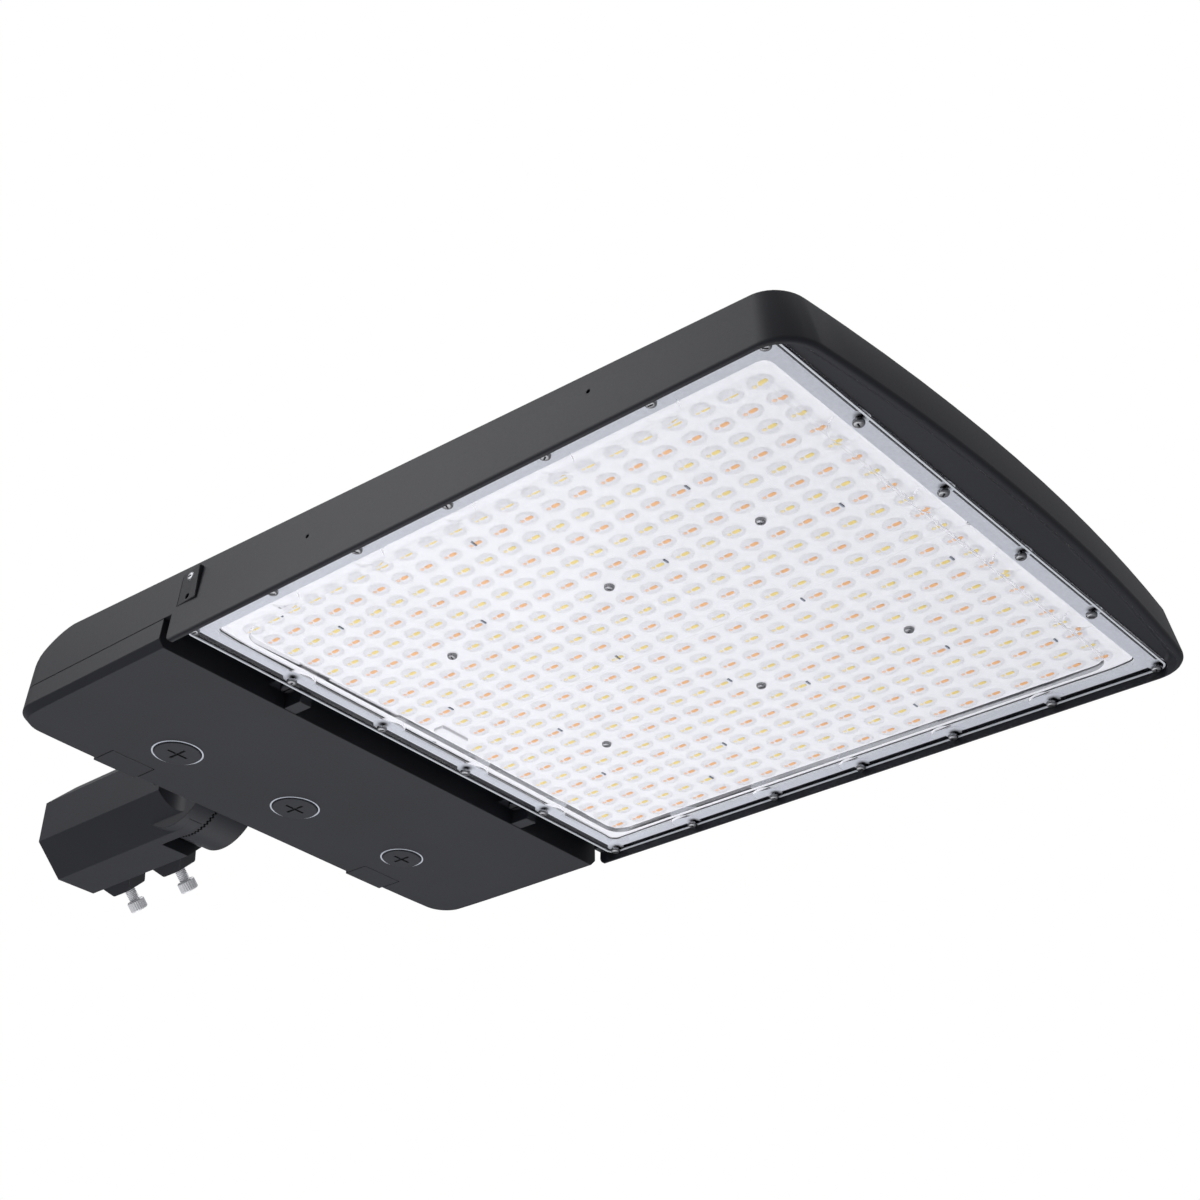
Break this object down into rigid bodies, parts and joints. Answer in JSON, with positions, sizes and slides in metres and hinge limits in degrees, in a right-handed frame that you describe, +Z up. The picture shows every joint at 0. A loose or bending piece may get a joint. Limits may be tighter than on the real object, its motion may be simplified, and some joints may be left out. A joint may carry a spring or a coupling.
{
  "type": "led area light",
  "caption": "Flat outdoor LED area light with a clear lens plate over white LED boards, a hinged gear door and an adjustable slip fitter for a pole tenon.",
  "frame": {"origin": "centre of the slip fitter's mouth, on the axis of the tenon bore", "axes": "+X along the bore and the head towards the nose, +Y across to the far side, +Z up; the LEDs face -Z"},
  "size_m": [0.8032, 0.3806, 0.0864],
  "materials": {
    "charcoal_coat": "satin",
    "cap_coat": "satin",
    "stainless": "satin",
    "clear_lens": "clear gloss",
    "pale_silicone": "matte",
    "dark_silicone": "matte",
    "white_board": "matte",
    "white_plastic": "matte",
    "driver_case": "satin",
    "black_plastic": "matte"
  },
  "bodies": {
    "fitter": {"slip_fitter": "charcoal_coat", "pivot_bolt": "stainless", "pivot_washer": "stainless", "pivot_nut": "stainless"},
    "clamp_mouth": {"clamp_screw_mouth": "stainless"},
    "clamp_inner": {"clamp_screw_inner": "stainless"},
    "head": {"upper_housing": "charcoal_coat", "knuckle_arm": "charcoal_coat", "arm_gasket": "dark_silicone", "arm_bolts": "stainless", "wire_grommet": "dark_silicone", "lens_plate": "clear_lens", "lens_gasket": "pale_silicone", "led_board_near": "white_board", "led_board_far": "white_board", "board_connector": "white_plastic", "lens_screws_near": "stainless", "lens_screws_far": "stainless", "lens_screws_nose": "stainless", "lens_screws_gear": "stainless", "lens_screws_inner": "stainless", "driver": "driver_case", "driver_screws": "stainless", "surge_protector": "black_plastic", "terminal_block": "white_plastic", "breather_plug": "black_plastic", "side_screw_near": "stainless", "side_screw_far": "stainless", "hinge_pin_near": "stainless", "hinge_pin_far": "stainless", "gear_gasket": "dark_silicone"},
    "door": {"gear_door": "charcoal_coat"},
    "cap_near": {"access_cap_near": "cap_coat"},
    "cap_middle": {"access_cap_middle": "cap_coat"},
    "cap_far": {"access_cap_far": "cap_coat"},
    "captive_near": {"captive_screw_near": "stainless"},
    "captive_far": {"captive_screw_far": "stainless"}
  },
  "joints": [
    {"name": "tilt", "type": "hinge", "parent": "fitter", "child": "head", "pos_m": [0.139, 0, 0], "axis": [0, 1, 0], "range_deg": [-90, 90]},
    {"name": "door_swing", "type": "hinge", "parent": "head", "child": "door", "pos_m": [0.1942, 0, -0.0315], "axis": [0, 1, 0], "range_deg": [0, 70]},
    {"name": "cap_near_turn", "type": "hinge", "parent": "door", "child": "cap_near", "pos_m": [0.2427, -0.0982, -0.045], "axis": [0, 0, 1], "continuous": true},
    {"name": "cap_middle_turn", "type": "hinge", "parent": "door", "child": "cap_middle", "pos_m": [0.2427, 0, -0.045], "axis": [0, 0, 1], "continuous": true},
    {"name": "cap_far_turn", "type": "hinge", "parent": "door", "child": "cap_far", "pos_m": [0.2427, 0.0982, -0.045], "axis": [0, 0, 1], "continuous": true},
    {"name": "captive_near_draw", "type": "slide", "parent": "door", "child": "captive_near", "axis": [0, 0, -1], "range_m": [0, 0.006]},
    {"name": "captive_far_draw", "type": "slide", "parent": "door", "child": "captive_far", "axis": [0, 0, -1], "range_m": [0, 0.006]},
    {"name": "clamp_mouth_drive", "type": "slide", "parent": "fitter", "child": "clamp_mouth", "axis": [0, -0.7071, 0.7071], "range_m": [-0.001, 0.004]},
    {"name": "clamp_inner_drive", "type": "slide", "parent": "fitter", "child": "clamp_inner", "axis": [0, -0.7071, 0.7071], "range_m": [-0.001, 0.004]}
  ]
}
